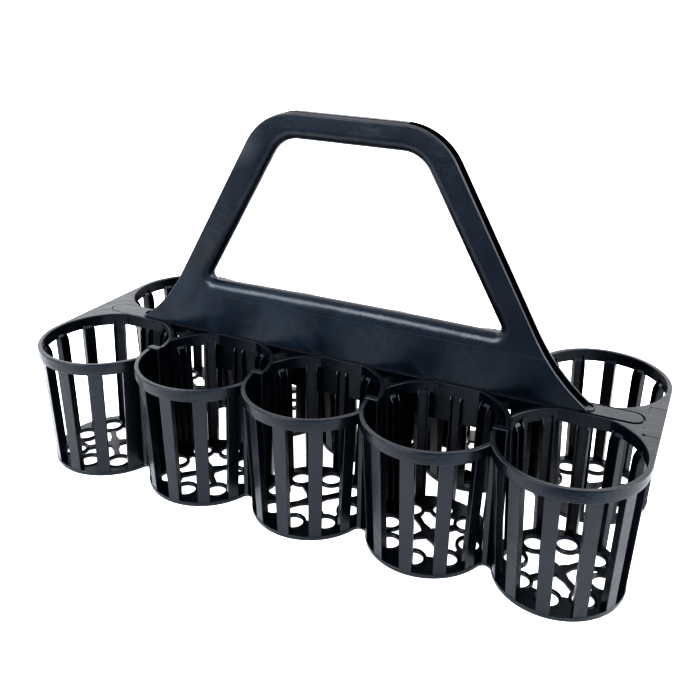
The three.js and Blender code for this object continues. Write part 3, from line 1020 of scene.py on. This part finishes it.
def band(axis, lo, hi, to_lo, to_hi, at):
    m = node(wt, "ShaderNodeMapRange", at)
    for k, v in (("From Min", lo), ("From Max", hi), ("To Min", to_lo), ("To Max", to_hi)):
        m.inputs[k].default_value = v
    m.interpolation_type = "SMOOTHSTEP"
    wt.links.new(w_sep.outputs[axis], m.inputs["Value"])
    return m.outputs[0]


# a dim, slightly blue room behind the camera, white behind the carrier, and
# brighter from both sides
total = band("Y", -0.55, 0.2, 0.82, 1.7, (-100, 300))
for axis, lo, hi, v, at in (("X", 0.35, 0.85, 0.8, (-100, 50)), ("X", -0.55, -0.9, 0.5, (-100, -200))):
    add = node(wt, "ShaderNodeMath", (200, at[1]), operation="ADD")
    wt.links.new(total, add.inputs[0])
    if lo < 0:
        wt.links.new(band(axis, hi, lo, v, 0.0, at), add.inputs[1])
    else:
        wt.links.new(band(axis, lo, hi, 0.0, v, at), add.inputs[1])
    total = add.outputs[0]
# the backdrop falls off towards the far edge of the table
low = node(wt, "ShaderNodeMath", (300, 500), operation="MULTIPLY")
wt.links.new(band("Z", 0.04, 0.27, 0.78, 0.0, (-100, 700)), low.inputs[0])
wt.links.new(band("Y", 0.1, 0.5, 0.0, 1.0, (-100, 900)), low.inputs[1])
rest = node(wt, "ShaderNodeMath", (400, 500), operation="SUBTRACT")
rest.inputs[0].default_value = 1.0
wt.links.new(low.outputs[0], rest.inputs[1])
dim = node(wt, "ShaderNodeMath", (500, 300), operation="MULTIPLY")
wt.links.new(total, dim.inputs[0])
wt.links.new(rest.outputs[0], dim.inputs[1])
wt.links.new(dim.outputs[0], w_bg.inputs["Strength"])
tint = node(wt, "ShaderNodeMix", (400, -200), data_type="RGBA")
tint.inputs[6].default_value = (0.58, 0.77, 1.0, 1)
tint.inputs[7].default_value = (1, 1, 1, 1)
wt.links.new(band("Y", -0.5, 0.1, 0.0, 1.0, (200, -400)), tint.inputs[0])
wt.links.new(tint.outputs[2], w_bg.inputs["Color"])
wt.links.new(w_bg.outputs[0], w_out.inputs[0])


def area_light(name, loc, target, size, power, colour=(1, 1, 1)):
    data = bpy.data.lights.new(name, "AREA")
    data.shape = "RECTANGLE"
    data.size, data.size_y = size
    data.energy = power
    data.color = colour
    o = bpy.data.objects.new(name, data)
    o.location = loc
    d = Vector(target) - Vector(loc)
    o.rotation_mode = "QUATERNION"
    o.rotation_quaternion = d.to_track_quat("-Z", "Y")
    bpy.context.scene.collection.objects.link(o)
    return o


area_light("top", (-0.50, -1.24, 0.66), (0, 0, 0.12), (1.1, 0.75), 15)
area_light("side", (1.5, 0.15, 0.7), (0, 0, 0.1), (0.9, 0.9), 7)

# ------------------------------------------------------------------- camera
cam_data = bpy.data.cameras.new("camera")
cam = bpy.data.objects.new("camera", cam_data)
bpy.context.scene.collection.objects.link(cam)
AZ, EL, CAM_ROLL = math.radians(22.336), math.radians(17.385), math.radians(1.968)
back = Vector((math.sin(AZ) * math.cos(EL), -math.cos(AZ) * math.cos(EL), math.sin(EL)))
right = (-back).cross(Vector((0, 0, 1))).normalized()
up = right.cross(-back)
right2 = right * math.cos(CAM_ROLL) + up * math.sin(CAM_ROLL)
up2 = -right * math.sin(CAM_ROLL) + up * math.cos(CAM_ROLL)
place = Matrix((right2, up2, back)).transposed().to_4x4()
place.translation = Vector((-0.06809, 0.25286, 0.100)) + back * 0.8668
cam.matrix_world = place
cam_data.sensor_width = 36.0
cam_data.lens = 846.15 * 36.0 / 700.0
cam_data.shift_x = (350 - 395.92) / 700
cam_data.shift_y = (242.7 - 350) / 700
cam_data.clip_start, cam_data.clip_end = 0.05, 250
cam_data.dof.use_dof = False
bpy.context.scene.camera = cam
bpy.context.scene.view_settings.view_transform = "Standard"
bpy.context.scene.view_settings.look = "Very High Contrast"
bpy.context.scene.view_settings.exposure = 0.12

lo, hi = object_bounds()
